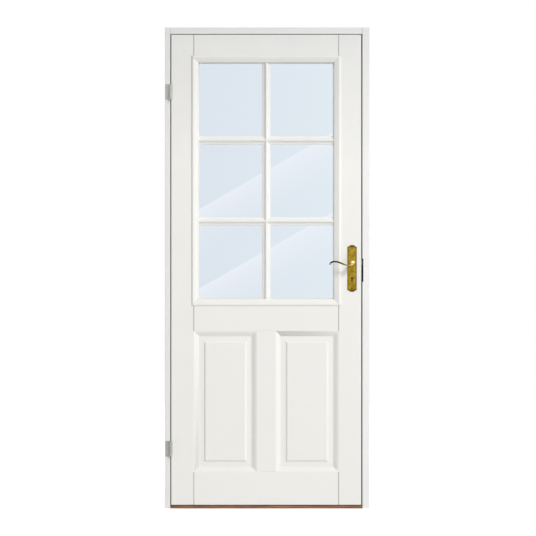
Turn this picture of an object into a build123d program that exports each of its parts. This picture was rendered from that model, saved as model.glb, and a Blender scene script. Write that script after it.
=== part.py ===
from build123d import *
from math import sqrt
import os

# A glazed interior door in its frame: framed leaf with six panes over two raised panels.
# Millimetres. X runs along the wall, hinges at -X. Y runs through it, and the leaf opens to -Y.
# Z is up. The origin is the middle of the frame's base.

# Frame
frame_width = 888.0
frame_height = 2088.0
frame_depth = 92.0
hinge_jamb_face = 23.5
lock_jamb_face = 31.5
head_face = 28.5
stop_height = 13.5
threshold_height = 13.0
threshold_stop = 24.5
threshold_slope = 6.0
frame_arris = 2.0
seal_space = 3.5

# Gaps round the leaf
hinge_gap = 3.5
lock_gap = 4.5
head_gap = 3.0
floor_gap = 3.5

# Leaf
leaf_thickness = 40.0
leaf_arris = 1.5
stile_width = 98.0
top_rail_height = 100.0
lock_rail_height = 118.0
bottom_rail_height = 142.0
panel_opening_height = 612.0
mullion_width = 81.0
joint_groove = 2.2
tenon_thickness = 12.0
tenon_length = 60.0
tenon_shoulder = 22.0
tenon_play = 0.2

# Sunk moulding that is stuck on the members round the panels, and the groove behind it
sunk_width = 22.5
sunk_depth = 12.6
sunk_ovolo = 6.4
sunk_quirk = 0.4
groove_depth = 12.0
panel_edge_thickness = 12.0
panel_play = 0.2
panel_shrinkage_gap = 2.0

# Raised panels
panel_margin = 23.0
panel_step = 7.0
panel_margin_rise = 1.6
panel_field_rise = 6.0

# Glazing
glass_thickness = 4.0
glass_play = 3.0
bead_overlap = 9.0
bead_sight = 24.5
bead_cove = 4.8
bead_fall = 8.4
bead_rise = 6.0
bar_width = 36.0
bar_ridge = 3.6
bar_setback = 4.0
bar_edge = 3.0
bar_knee = 3.2
pane_rows = 3

# Hinges
hinge_height = 68.5
hinge_plate = 2.5
hinge_plate_inset = 1.0
hinge_wing_depth = 30.0
knuckle_radius = 6.75
knuckle_length = 32.0
knuckle_play = 0.3
knuckle_face_gap = 0.25
pin_radius = 3.0
pin_play = 0.08
pin_cap_radius = 4.6
pin_cap_height = 2.6
top_hinge_drop = 249.0
bottom_hinge_rise = 243.0

# Lock, measured from the spindle
backset = 40.0
spindle_rise = 1050.5
case_top = 42.0
case_bottom = 105.0
case_behind = 22.0
case_thickness = 14.0
case_wall = 1.5
case_play = 0.5
faceplate_width = 20.0
faceplate_length = 200.0
faceplate_thickness = 3.0
follower_radius = 9.0
follower_journal = 7.5
follower_arm = 17.2
follower_arm_width = 6.0
running_play = 0.1
spindle_size = 8.0
spindle_reach = 26.0
latch_height = 20.0
latch_thickness = 11.0
latch_throw = 11.5
latch_length = 18.5
latch_play = 1.0
deadbolt_drop = 48.0
deadbolt_height = 24.0
deadbolt_length = 36.0
bolt_clearance = 0.3
key_drop = 66.0
key_radius = 4.0
key_slot_width = 4.6
key_slot_reach = 16.0

# Strike plate
strike_top = 18.0
strike_length = 101.0
strike_thickness = 2.0
strike_width = 32.0
strike_lip = 4.5
latch_pocket = 12.0
bolt_pocket = 17.0

# Long plates and levers
plate_width = 42.0
plate_length = 202.5
plate_head = 8.0
plate_waist = 1.0
plate_drop = 24.75
plate_thickness = 2.5
plate_bevel = 0.9
plate_screw_spacing = 174.0
lever_standoff = 40.0
lever_play = 0.3
lever_journal = 8.0
lever_collar = 10.5

# Fixings
frame_fixing_radius = 7.0
fixing_outer_spacing = 1640.0
fixing_inner_spacing = 560.0
screw_play = 0.1

# Places worked out from the sizes above
front = -frame_depth / 2
back = frame_depth / 2
leaf_left = -frame_width / 2 + hinge_jamb_face + hinge_gap
leaf_right = frame_width / 2 - lock_jamb_face - lock_gap
leaf_bottom = threshold_height + floor_gap
leaf_top = frame_height - head_face - head_gap
leaf_back = front + leaf_thickness
leaf_middle = front + leaf_thickness / 2
leaf_centre = (leaf_left + leaf_right) / 2
stop_front = leaf_back + seal_space
hinge_rebate = -frame_width / 2 + hinge_jamb_face
lock_rebate = frame_width / 2 - lock_jamb_face
head_rebate = frame_height - head_face

opening_left = leaf_left + stile_width
opening_right = leaf_right - stile_width
opening_width = opening_right - opening_left
bottom_rail_top = leaf_bottom + bottom_rail_height
lock_rail_bottom = bottom_rail_top + panel_opening_height
lock_rail_top = lock_rail_bottom + lock_rail_height
top_rail_bottom = leaf_top - top_rail_height
glazed_height = top_rail_bottom - lock_rail_top
glazed_middle = (top_rail_bottom + lock_rail_top) / 2
panel_opening_width = (opening_width - mullion_width) / 2
panel_centre = (mullion_width + panel_opening_width) / 2
panel_middle = (bottom_rail_top + lock_rail_bottom) / 2

pin_x = leaf_left - hinge_gap / 2
pin_y = front - knuckle_radius - knuckle_face_gap
hinge_heights = {"upper": leaf_top - top_hinge_drop, "lower": leaf_bottom + bottom_hinge_rise}

spindle_x = leaf_right - backset
spindle_z = leaf_bottom + spindle_rise


def outline(start, *steps):
    """A closed face. Each step is a point, and a third number bows the side that ends there."""
    edges, last = [], start
    for x, y, *bow in steps + (start,):
        if (x, y) == tuple(last[:2]):
            continue
        if bow:
            edges.append(SagittaArc(last[:2], (x, y), bow[0]))
        else:
            edges.append(Line(last[:2], (x, y)))
        last = (x, y)
    return make_face(edges)


def round_bow(radius):
    """The bow of a side that rounds a square corner to this radius."""
    return radius * (1 - sqrt(0.5))


def dome_bow(radius, height):
    """The bow of a dome's profile from its rim to the axis, where it lies level."""
    ball = (radius**2 + height**2) / (2 * height)
    return ball - sqrt(ball**2 - (radius**2 + height**2) / 4)


def block(x_range, y_range, z_range):
    """A box between two planes each way."""
    spans = [high - low for low, high in (x_range, y_range, z_range)]
    middle = [(high + low) / 2 for low, high in (x_range, y_range, z_range)]
    return Pos(*middle) * Box(*spans)


def mirrored_in_leaf(piece):
    """The same piece on the leaf's other face."""
    return mirror(piece, about=Plane.XZ.offset(-leaf_middle))


def along_x(profile, x_range):
    """A profile drawn in Y and Z, run along X."""
    low, high = x_range
    return Pos(low, 0, 0) * extrude(Plane.YZ * profile, high - low)


def along_z(profile, z_range):
    """A profile drawn in X and Y, run along Z."""
    low, high = z_range
    return Pos(0, 0, low) * extrude(profile, high - low)


def joint_cutter(x, z, length, along):
    """A V that marks a shoulder line on both faces of the leaf."""
    side = joint_groove * sqrt(2)
    if along is Axis.Z:
        bar = Rot(0, 0, 45) * Box(side, side, length)
    else:
        bar = Rot(45, 0, 0) * Box(length, side, side)
    return Pos(x, front, z) * bar + Pos(x, leaf_back, z) * bar


# Screws, drawn with the head's face at the origin and the point towards -Z

def screw(length, shank, head, play=0.0):
    head_depth = head - shank
    profile = outline(
        (0, 0),
        (head + play, 0),
        (shank + play, -head_depth),
        (shank + play, -length + 2 * shank),
        (0, -length - play),
    )
    return revolve(Plane.XZ * profile, Axis.Z)


def screw_set(places, length, shank, head):
    """The screws at these places, and the holes that they go in."""
    screws = Compound(children=[place * screw(length, shank, head) for place in places])
    holes = [place * screw(length, shank, head, screw_play) for place in places]
    return screws, holes


def pointing(axis_rotation, x, y, z):
    return Pos(x, y, z) * axis_rotation


into_plus_y = Rot(90, 0, 0)
into_minus_y = Rot(-90, 0, 0)
into_plus_x = Rot(0, -90, 0)
into_minus_x = Rot(0, 90, 0)


# Frame

def jamb_section(sign, face):
    """The jamb's section for the side at +X or -X, with the rebate in front."""
    outer = sign * frame_width / 2
    rebate = outer - sign * face
    stop = rebate - sign * stop_height
    section = outline(
        (outer, front),
        (rebate, front),
        (rebate, stop_front),
        (stop, stop_front),
        (stop, back),
        (outer, back),
    )
    arrises = [v for v in section.vertices() if v.Y < front + 1 or v.Y > back - 1]
    return fillet(arrises, frame_arris)


def head_piece():
    section = outline(
        (front, frame_height),
        (front, head_rebate),
        (stop_front, head_rebate),
        (stop_front, head_rebate - stop_height),
        (back, head_rebate - stop_height),
        (back, frame_height),
    )
    arrises = [v for v in section.vertices() if v.X < front + 1 or v.X > back - 1]
    section = fillet(arrises, frame_arris)
    between = along_x(section, (hinge_rebate, lock_rebate))
    return between - stop_blocks((head_rebate - stop_height, frame_height))


def threshold_piece():
    crown = (stop_front + back) / 2
    section = outline(
        (front, 0),
        (front, threshold_height - 2.5),
        (front + 2.5, threshold_height, round_bow(2.5)),
        (stop_front, threshold_height),
        (stop_front, threshold_stop - 2),
        (stop_front + 2, threshold_stop, round_bow(2)),
        (crown, threshold_stop),
        (back, threshold_stop - threshold_slope),
        (back, 0),
    )
    between = along_x(section, (hinge_rebate, lock_rebate))
    return between - stop_blocks((0, threshold_stop))


def stop_blocks(z_range):
    """The room that the jambs' stops take from a member between the rebates."""
    room = (stop_front, back)
    hinge_side = block((hinge_rebate, hinge_rebate + stop_height), room, z_range)
    lock_side = block((lock_rebate - stop_height, lock_rebate), room, z_range)
    return hinge_side + lock_side


# Seal strips: a bulb that the leaf closes on, and a tongue in a saw kerf

seal_width = 8.0
seal_kerf_width = 3.0
seal_kerf_depth = 7.0
seal_tongue = 2.6
seal_clear = 0.3


def seal_section():
    """Drawn with the corner of the rebate at the origin, width to +X and depth to +Y."""
    nose = -(seal_space - seal_clear)
    kerf = seal_width / 2
    return outline(
        (0.4, 0),
        (0.4, nose / 2),
        (seal_width / 2, nose, -0.5),
        (seal_width, nose / 2, -0.5),
        (seal_width, 0),
        (kerf + seal_tongue / 2, 0),
        (kerf + 0.8, seal_kerf_depth - 0.5),
        (kerf - 0.8, seal_kerf_depth - 0.5),
        (kerf - seal_tongue / 2, 0),
    )


def seal_kerf_section():
    middle = seal_width / 2
    return outline(
        (middle - seal_kerf_width / 2, -0.01),
        (middle + seal_kerf_width / 2, -0.01),
        (middle + seal_kerf_width / 2, seal_kerf_depth),
        (middle - seal_kerf_width / 2, seal_kerf_depth),
    )


def upright_seal(sign, section):
    """A strip or its kerf on the hinge side (+1) or the lock side (-1)."""
    rebate = hinge_rebate if sign > 0 else lock_rebate
    strip = along_z(section, (threshold_height + seal_clear, head_rebate - seal_clear))
    strip = strip if sign > 0 else mirror(strip, about=Plane.YZ)
    return Pos(rebate, stop_front, 0) * strip


def head_seal(section):
    """The strip under the head, or its kerf, between the two upright strips."""
    reach = (hinge_rebate + seal_width + seal_clear, lock_rebate - seal_width - seal_clear)
    return Pos(0, stop_front, head_rebate) * (Rot(0, 90, 0) * along_z(section, reach))


# Leaf joinery

def sunk_profile():
    """The stuck moulding and its groove in (inwards, Y), across the leaf's whole thickness."""
    half_groove = panel_edge_thickness / 2 + panel_play
    lip = leaf_thickness / 2 - sunk_depth
    ovolo_end, quirk_end = sunk_width * 0.55, sunk_width * 0.6
    groove_floor = sunk_width - groove_depth
    half = leaf_thickness / 2
    front_side = [
        (ovolo_end, -half + sunk_ovolo, -0.8),
        (quirk_end, -half + sunk_ovolo + sunk_quirk),
        (sunk_width, -lip, 0.7),
        (sunk_width, -half_groove),
        (groove_floor, -half_groove),
    ]
    back_side = [
        (groove_floor, half_groove),
        (sunk_width, half_groove),
        (sunk_width, lip),
        (quirk_end, half - sunk_ovolo - sunk_quirk, 0.7),
        (ovolo_end, half - sunk_ovolo),
        (0, half, -0.8),
    ]
    return outline((0, -half), *front_side, *back_side)


def mitred_length(profile, length, distance):
    """A profile in (inwards, Y) along one side of an opening, with its ends mitred.

    The side lies at -Z, this far from the opening's centre at the origin.
    """
    upright = Plane(origin=(-length / 2, 0, -distance), x_dir=(0, 0, 1), z_dir=(-1, 0, 0))
    reach = 2 * bead_sight
    run = extrude(upright * profile, amount=-length - reach)
    run = Pos(-reach / 2, 0, 0) * run + Pos(reach / 2, 0, 0) * run
    half = length / 2
    blank = outline(
        (-half - reach, -distance - reach),
        (half + reach, -distance - reach),
        (half - reach, -distance + reach),
        (-half + reach, -distance + reach),
    )
    return run & extrude(Plane.XZ * blank, amount=frame_depth, both=True)


def round_opening(profile, width, height):
    """Four mitred lengths round an opening centred at the origin, by side."""
    sides = {"bottom": 0, "left": 90, "top": 180, "right": 270}
    lengths = {}
    for side, angle in sides.items():
        level = side in ("bottom", "top")
        along, away = (width, height / 2) if level else (height, width / 2)
        lengths[side] = Rot(0, angle, 0) * mitred_length(profile, along, away)
    return lengths


def sunk_lengths(sign):
    """The stuck moulding round the left (-1) or the right (+1) panel opening."""
    lengths = round_opening(sunk_profile(), panel_opening_width, panel_opening_height)
    place = Pos(leaf_centre + sign * panel_centre, leaf_middle, panel_middle)
    return {side: place * length for side, length in lengths.items()}


def rail_tenon(z_range, play=0.0):
    """The tenons of a rail between the stiles, or with play their mortises."""
    low, high = z_range
    half = tenon_thickness / 2 + play
    reach = tenon_length + 2 * play
    return block(
        (opening_left - reach, opening_right + reach),
        (leaf_middle - half, leaf_middle + half),
        (low + tenon_shoulder - play, high - tenon_shoulder + play),
    )


def mullion_tenon(play=0.0):
    half = tenon_thickness / 2 + play
    reach = tenon_length / 2 + 2 * play
    width = mullion_width / 2 - tenon_shoulder + play
    return block(
        (leaf_centre - width, leaf_centre + width),
        (leaf_middle - half, leaf_middle + half),
        (bottom_rail_top - reach, lock_rail_bottom + reach),
    )


rail_heights = {
    "top_rail": (top_rail_bottom, leaf_top),
    "lock_rail": (lock_rail_bottom, lock_rail_top),
    "bottom_rail": (leaf_bottom, bottom_rail_top),
}


def shoulder_grooves():
    cutters = []
    for low, high in rail_heights.values():
        for x in (opening_left, opening_right):
            cutters.append(joint_cutter(x, (low + high) / 2, high - low, Axis.Z))
    for z in (bottom_rail_top, lock_rail_bottom):
        cutters.append(joint_cutter(leaf_centre, z, mullion_width, Axis.X))
    return cutters


def stile(sign):
    """A plain stile with the stuck moulding beside its panel: hinge side -1, lock side +1."""
    outer, inner = (leaf_left, opening_left) if sign < 0 else (leaf_right, opening_right)
    x_range = (min(outer, inner), max(outer, inner))
    body = block(x_range, (front, leaf_back), (leaf_bottom, leaf_top))
    arrises = [e for e in body.edges().filter_by(Axis.Z) if abs(e.center().X - outer) < 0.1]
    body = chamfer(arrises, leaf_arris)
    body += sunk_lengths(sign)["left" if sign < 0 else "right"]
    for z_range in rail_heights.values():
        body -= rail_tenon(z_range, tenon_play)
    return body - shoulder_grooves()


def rail(name):
    low, high = rail_heights[name]
    body = block((opening_left, opening_right), (front, leaf_back), (low, high))
    if name != "top_rail":
        side = "bottom" if name == "bottom_rail" else "top"
        for sign in (-1, 1):
            body += sunk_lengths(sign)[side]
    body += rail_tenon((low, high))
    if name != "top_rail":
        body -= mullion_tenon(tenon_play)
    return body - shoulder_grooves()


def mullion():
    half = mullion_width / 2
    x_range = (leaf_centre - half, leaf_centre + half)
    body = block(x_range, (front, leaf_back), (bottom_rail_top, lock_rail_bottom))
    body += sunk_lengths(-1)["right"]
    body += sunk_lengths(1)["left"]
    return body + mullion_tenon() - shoulder_grooves()


def raised_section(half_width):
    """Half the panel's thickness profile, mirrored both ways, for one of its two directions."""
    edge = half_width + groove_depth - panel_shrinkage_gap
    foot = half_width - panel_margin
    field = foot - panel_step
    low = panel_edge_thickness / 2
    quarter = [
        (edge, low),
        (half_width, low),
        (foot, low + panel_margin_rise),
        (field, low + panel_margin_rise + panel_field_rise, -1.2),
    ]
    other = [(-x, y, *bow) for x, y, *bow in reversed(quarter)]
    other = [other[0][:2], (*other[1][:2], -1.2), other[2], other[3]]
    upper = quarter + other
    lower = [
        (-edge, -low),
        (-half_width, -low),
        (-foot, -low - panel_margin_rise),
        (-field, -low - panel_margin_rise - panel_field_rise, -1.2),
        (field, -low - panel_margin_rise - panel_field_rise),
        (foot, -low - panel_margin_rise, -1.2),
        (half_width, -low),
        (edge, -low),
    ]
    return outline(*upper, *lower)


def raised_panel(sign):
    """Both faces are raised and fielded: two profiles crossed give the mitred corners."""
    half_width = panel_opening_width / 2 - sunk_width
    half_height = panel_opening_height / 2 - sunk_width
    across = extrude(raised_section(half_width), amount=half_height * 2, both=True)
    upright = extrude(raised_section(half_height), amount=half_width * 2, both=True)
    panel = across & (Rot(0, 90, 0) * upright)
    return Pos(leaf_centre + sign * panel_centre, leaf_middle, panel_middle) * panel


# Glazing

def bead_profile():
    """The front bead in (inwards, Y from the leaf's middle): it laps over the leaf's face."""
    face = -leaf_thickness / 2
    glass = -glass_thickness / 2
    crown = face - bead_rise
    return outline(
        (-bead_overlap, face),
        (-bead_overlap, face - 1.2),
        (-1.6, crown, -1.6),
        (0.4, crown),
        (0.4, crown + 0.8),
        (bead_sight - bead_cove, crown + bead_fall, -0.7),
        (bead_sight - bead_cove, crown + bead_fall + 1.0),
        (bead_sight, glass - 2.4, 1.0),
        (bead_sight, glass),
        (0, glass),
        (0, face),
    )


def beads(face):
    lengths = round_opening(bead_profile(), opening_width, glazed_height)
    place = Pos(leaf_centre, leaf_middle, glazed_middle)
    placed = {side: place * length for side, length in lengths.items()}
    if face == "back":
        return {side: mirrored_in_leaf(length) for side, length in placed.items()}
    return placed


def bar_section():
    """A glazing bar in (across, Y from the leaf's middle), with its flat foot on the glass."""
    glass = -glass_thickness / 2
    ridge = -leaf_thickness / 2 + bar_setback
    half, flat = bar_width / 2, bar_ridge / 2
    foot = glass - bar_edge
    knee = (half * 0.6, foot - bar_knee)
    right = [
        (half, glass),
        (half, foot),
        (*knee, 0.5),
        (flat, ridge + 0.8, -0.5),
        (flat, ridge),
    ]
    left = [
        (-flat, ridge),
        (-flat, ridge + 0.8),
        (-knee[0], knee[1], -0.5),
        (-half, foot, 0.5),
        (-half, glass),
    ]
    return outline(*right, *left)


def pane_height():
    sight_height = glazed_height - 2 * bead_sight
    return (sight_height - (pane_rows - 1) * bar_width) / pane_rows


def bar_heights():
    first = lock_rail_top + bead_sight + pane_height() + bar_width / 2
    return [first + row * (pane_height() + bar_width) for row in range(pane_rows - 1)]


def glazing_bars(face):
    """One upright through the middle, and level bars coped over it and over the beads."""
    upright = along_z(bar_section(), (lock_rail_top, top_rail_bottom))
    upright = Pos(leaf_centre, leaf_middle, 0) * upright
    lying = Rot(0, 90, 0) * along_z(bar_section(), (-opening_width / 2, opening_width / 2))
    levels = [Pos(leaf_centre, leaf_middle, z) * lying for z in bar_heights()]
    around = list(beads("front").values())
    cut_upright = upright - around
    pieces = []
    for level in levels:
        pieces += (level - around - upright).solids()
    level_bars = Compound(children=pieces)
    if face == "back":
        return mirrored_in_leaf(cut_upright), mirrored_in_leaf(level_bars)
    return cut_upright, level_bars


def glass_pane():
    return block(
        (opening_left + glass_play, opening_right - glass_play),
        (leaf_middle - glass_thickness / 2, leaf_middle + glass_thickness / 2),
        (lock_rail_top + glass_play, top_rail_bottom - glass_play),
    )


# Hinges: the frame's leaf is let into the jamb's face, the door's leaf into the stile's edge

def knuckle(z, length):
    ring = Cylinder(knuckle_radius, length) - Cylinder(pin_radius + pin_play, length)
    return Pos(pin_x, pin_y, z) * ring


def outer_knuckle_centres(z):
    """The heights of the frame's two knuckles, and their length."""
    length = (hinge_height - 2 * pin_cap_height - knuckle_length) / 2 - knuckle_play
    away = knuckle_length / 2 + knuckle_play + length / 2
    return (z - away, z + away), length


def hinge_frame_leaf(z):
    plate = block(
        (-frame_width / 2 + hinge_plate_inset, hinge_rebate),
        (front, front + hinge_plate),
        (z - hinge_height / 2, z + hinge_height / 2),
    )
    centres, length = outer_knuckle_centres(z)
    for centre in centres:
        roll = block(
            (pin_x - knuckle_radius, hinge_rebate),
            (pin_y, front + hinge_plate),
            (centre - length / 2, centre + length / 2),
        )
        bore = Pos(pin_x, pin_y, centre) * Cylinder(pin_radius + pin_play, length)
        plate += knuckle(centre, length) + (roll - bore)
    return plate


def hinge_door_leaf(z):
    wing_x = (leaf_left, leaf_left + hinge_plate)
    wing_y = (front, front + hinge_wing_depth)
    wing = block(wing_x, wing_y, (z - hinge_height / 2, z + hinge_height / 2))
    neck = block(wing_x, (pin_y, front), (z - knuckle_length / 2, z + knuckle_length / 2))
    bore = Pos(pin_x, pin_y, z) * Cylinder(pin_radius + pin_play, knuckle_length)
    return wing + (neck - bore) + knuckle(z, knuckle_length)


def hinge_pin(z):
    """A turned pin with a domed cap at each end of the knuckles."""
    centres, length = outer_knuckle_centres(z)
    low = centres[0] - length / 2 - z
    high = centres[1] + length / 2 - z
    bow = dome_bow(pin_cap_radius, pin_cap_height)
    profile = outline(
        (0, low - pin_cap_height),
        (pin_cap_radius, low, -bow),
        (pin_radius, low),
        (pin_radius, high),
        (pin_cap_radius, high),
        (0, high + pin_cap_height, -bow),
    )
    return Pos(pin_x, pin_y, z) * revolve(Plane.XZ * profile, Axis.Z)


def hinge_frame_screw_places():
    middle = (-frame_width / 2 + hinge_plate_inset + pin_x - knuckle_radius) / 2
    places = []
    for z in hinge_heights.values():
        for offset in (-24, 0, 24):
            places.append(pointing(into_plus_y, middle, front, z + offset))
    return places


def hinge_door_screw_places():
    places = []
    for z in hinge_heights.values():
        for offset, depth in ((-24, 20), (0, 12), (24, 20)):
            places.append(pointing(into_plus_x, leaf_left, front + depth, z + offset))
    return places


# Mortise lock

case_left = spindle_x - case_behind
case_right = leaf_right - faceplate_thickness
case_front = leaf_middle - case_thickness / 2
case_back = leaf_middle + case_thickness / 2


def keyhole(y_range, play=0.0):
    """A round top over a slot, through this depth."""
    low, high = y_range
    slot_low = spindle_z - key_drop - key_slot_reach - play
    half = key_slot_width / 2 + play
    y_span = high - low
    eye = Pos(spindle_x, (low + high) / 2, spindle_z - key_drop) * Rot(90, 0, 0)
    eye = eye * Cylinder(key_radius + play, y_span)
    slot = block((spindle_x - half, spindle_x + half), y_range, (slot_low, spindle_z - key_drop))
    return eye + slot


def spindle_hole(radius, y_range):
    low, high = y_range
    return Pos(spindle_x, (low + high) / 2, spindle_z) * Rot(90, 0, 0) * Cylinder(radius, high - low)


def lock_case():
    """The case with its back open for the cover, and windows for the latch and the bolt."""
    z_range = (spindle_z - case_bottom, spindle_z + case_top)
    shell = block((case_left, case_right), (case_front, case_back - case_wall), z_range)
    shell -= block(
        (case_left + case_wall, case_right - case_wall),
        (case_front + case_wall, case_back),
        (z_range[0] + case_wall, z_range[1] - case_wall),
    )
    shell -= spindle_hole(follower_journal + running_play, (case_front - 1, case_front + 3))
    shell -= keyhole((case_front - 1, case_front + 3))
    return shell - latch_window() - bolt_window()


def lock_cover():
    z_range = (spindle_z - case_bottom, spindle_z + case_top)
    y_range = (case_back - case_wall, case_back)
    cover = block((case_left, case_right), y_range, z_range)
    cover -= spindle_hole(follower_journal + running_play, (case_back - 3, case_back + 1))
    return cover - keyhole((case_back - 3, case_back + 1))


def latch_window():
    half = latch_height / 2 + bolt_clearance
    depth = latch_thickness / 2 + bolt_clearance
    return block(
        (case_right - 3 * case_wall, leaf_right + 1),
        (leaf_middle - depth, leaf_middle + depth),
        (spindle_z - half, spindle_z + half),
    )


def bolt_window():
    half = deadbolt_height / 2 + bolt_clearance
    depth = latch_thickness / 2 + bolt_clearance
    middle = spindle_z - deadbolt_drop
    return block(
        (case_right - 3 * case_wall, leaf_right + 1),
        (leaf_middle - depth, leaf_middle + depth),
        (middle - half, middle + half),
    )


faceplate_z = spindle_z + (case_top - case_bottom) / 2


def faceplate_blank(play=0.0):
    """Round ends, upright, flush with the leaf's edge."""
    width, length = faceplate_width + 2 * play, faceplate_length + 2 * play
    shape = SlotOverall(length, width)
    plane = Plane(origin=(leaf_right, leaf_middle, faceplate_z), x_dir=(0, 0, 1), z_dir=(1, 0, 0))
    return extrude(plane * shape, amount=-faceplate_thickness)


def faceplate_screw_places():
    reach = faceplate_length / 2 - 8
    return [
        pointing(into_minus_x, leaf_right, leaf_middle, faceplate_z + side * reach)
        for side in (-1, 1)
    ]


def follower():
    """The hub that the spindle turns, with the arm that draws the latch."""
    inner = case_thickness / 2 - case_wall - bolt_clearance
    hub = Rot(90, 0, 0) * Cylinder(follower_radius, 2 * inner)
    journals = Rot(90, 0, 0) * Cylinder(follower_journal, case_thickness - 0.4)
    arm = block((-follower_arm_width / 2, follower_arm_width / 2), (-3, 3), (0, follower_arm))
    arm = fillet(arm.edges().filter_by(Axis.Y).sort_by(Axis.Z)[-2:], 1.5)
    half = spindle_size / 2 + running_play
    square = block((-half, half), (-case_thickness, case_thickness), (-half, half))
    return Pos(spindle_x, leaf_middle, spindle_z) * (hub + journals + arm - square)


def spindle():
    low = front - plate_thickness - spindle_reach
    high = leaf_back + plate_thickness + spindle_reach
    half = spindle_size / 2
    bar = block(
        (spindle_x - half, spindle_x + half), (low, high), (spindle_z - half, spindle_z + half)
    )
    return chamfer(bar.edges().filter_by(Axis.Y), 0.6)


def latch_bolt():
    """A head with a curved nose, and a tail over the follower that ends in a hook."""
    nose = leaf_right + latch_throw
    rear = nose - latch_length - latch_throw
    half = latch_thickness / 2
    head = outline(
        (rear, -half),
        (nose - 1, -half),
        (nose, -half + 1, 0.3),
        (leaf_right + 0.6, half, 1.6),
        (rear, half),
    )
    z_range = (spindle_z - latch_height / 2, spindle_z + latch_height / 2)
    latch = Pos(0, leaf_middle, 0) * along_z(head, z_range)
    hook_face = spindle_x - follower_arm_width / 2 - latch_play
    tail_low = spindle_z + follower_arm + 1.2
    tail_high = tail_low + 5
    depth = (leaf_middle - 2.5, leaf_middle + 2.5)
    latch += block((rear, rear + 6), depth, (spindle_z, tail_high))
    latch += block((hook_face - 4, rear + 6), depth, (tail_low, tail_high))
    latch += block((hook_face - 4, hook_face), depth, (spindle_z + follower_arm - 6, tail_high))
    return latch


def deadbolt():
    """Drawn back at rest, with a talon for the key in its tail."""
    nose = leaf_right - 0.5
    rear = nose - deadbolt_length
    half = latch_thickness / 2
    middle = spindle_z - deadbolt_drop
    head = block(
        (rear, nose),
        (leaf_middle - half, leaf_middle + half),
        (middle - deadbolt_height / 2, middle + deadbolt_height / 2),
    )
    head = chamfer(head.faces().sort_by(Axis.X)[-1].edges(), 0.8)
    tail_z = (middle - deadbolt_height / 2 + 2, middle + deadbolt_height / 2 - 4)
    tail = block((case_left + case_wall + 3, rear), (leaf_middle - 2.5, leaf_middle + 2.5), tail_z)
    notch_x = (spindle_x - 5, spindle_x + 3)
    notch = block(notch_x, (front, leaf_back), (tail_z[0] - 1, tail_z[0] + 6))
    return head + (tail - notch)


def lock_mortise():
    """The room in the lock stile for the case, its faceplate, the spindle and the key."""
    room = block(
        (case_left - case_play, leaf_right),
        (case_front - case_play, case_back + case_play),
        (spindle_z - case_bottom - case_play, spindle_z + case_top + case_play),
    )
    room += faceplate_blank(0.1)
    through = (front - 1, leaf_back + 1)
    room += spindle_hole(lever_journal + 1.0, through)
    return room + keyhole(through, 2.0)


# Strike plate on the lock jamb

def strike_plate():
    z_range = (spindle_z + strike_top - strike_length, spindle_z + strike_top)
    x_range = (lock_rebate, lock_rebate + strike_thickness)
    flat = block(x_range, (front, front + strike_width), z_range)
    lip = block((lock_rebate, lock_rebate + strike_lip), (front, front + strike_thickness), z_range)
    return flat + lip


def strike_holes(depth_latch, depth_bolt):
    """Windows for the latch and the bolt, cut this deep from the rebate's face."""
    middle = spindle_z - deadbolt_drop
    half_latch, half_bolt = latch_height / 2 + 1.5, deadbolt_height / 2 + 1.5
    across = (leaf_middle - latch_thickness / 2 - 1.2, leaf_middle + latch_thickness / 2 + 1.2)
    latch = block(
        (lock_rebate - 1, lock_rebate + depth_latch),
        across,
        (spindle_z - half_latch, spindle_z + half_latch),
    )
    bolt = block(
        (lock_rebate - 1, lock_rebate + depth_bolt), across, (middle - half_bolt, middle + half_bolt)
    )
    return latch + bolt


def strike_screw_places():
    return [
        pointing(into_plus_x, lock_rebate, leaf_middle, spindle_z + drop)
        for drop in (-23.0, -74.0)
    ]


# Long plates and levers

def plate_outline():
    """Straight sides with flared corners and a low arched head, alike at both ends."""
    half, tall = plate_width / 2, plate_length / 2
    arch_half, arch_rise = 0.42 * half, 0.14 * plate_head
    right_up = [
        (half - plate_waist, tall - 2.2 * plate_head),
        (half, tall - plate_head, 0.5),
        (arch_half, tall - arch_rise, 1.0),
    ]
    left_down = [(-arch_half, tall - arch_rise, -arch_rise)]
    for here, after in zip(reversed(right_up[:-1]), reversed(right_up[1:])):
        left_down.append((-here[0], here[1], *after[2:]))
    top = right_up + left_down
    bottom = [(-x, -y, *bow) for x, y, *bow in top]
    return outline(*top, *bottom)


def long_plate():
    """The front plate, bevelled round its rim."""
    centre = (spindle_x, front, spindle_z - plate_drop)
    plane = Plane(origin=centre, x_dir=(1, 0, 0), z_dir=(0, -1, 0))
    straight = plate_thickness - plate_bevel
    plate = extrude(plane * plate_outline(), straight)
    plate += extrude(plane.offset(straight) * plate_outline(), plate_bevel, taper=45)
    through = (front - plate_thickness - 1, front + 1)
    return plate - spindle_hole(lever_journal + lever_play, through) - keyhole(through)


def plate_screw_places():
    places = []
    for side in (-1, 1):
        z = spindle_z - plate_drop + side * plate_screw_spacing / 2
        places.append(pointing(into_plus_y, spindle_x, front - plate_thickness, z))
        places.append(pointing(into_minus_y, spindle_x, leaf_back + plate_thickness, z))
    return places


# The lever's middle line from the hub, with its half depth and half height there
lever_stations = [
    (2.0, -4.0, 6.4, 5.6),
    (-6.5, -10.6, 5.8, 4.6),
    (-15.5, -12.8, 5.2, 3.9),
    (-26.0, -11.6, 4.9, 3.6),
    (-38.0, -7.2, 4.8, 3.5),
    (-50.0, -1.4, 4.9, 3.5),
    (-62.0, 3.0, 5.1, 3.7),
    (-74.0, 5.2, 5.2, 3.8),
    (-84.0, 4.0, 4.8, 3.6),
    (-91.0, 0.8, 4.3, 3.2),
]
scroll_radius = 3.9
scroll_half_width = 4.4


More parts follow.
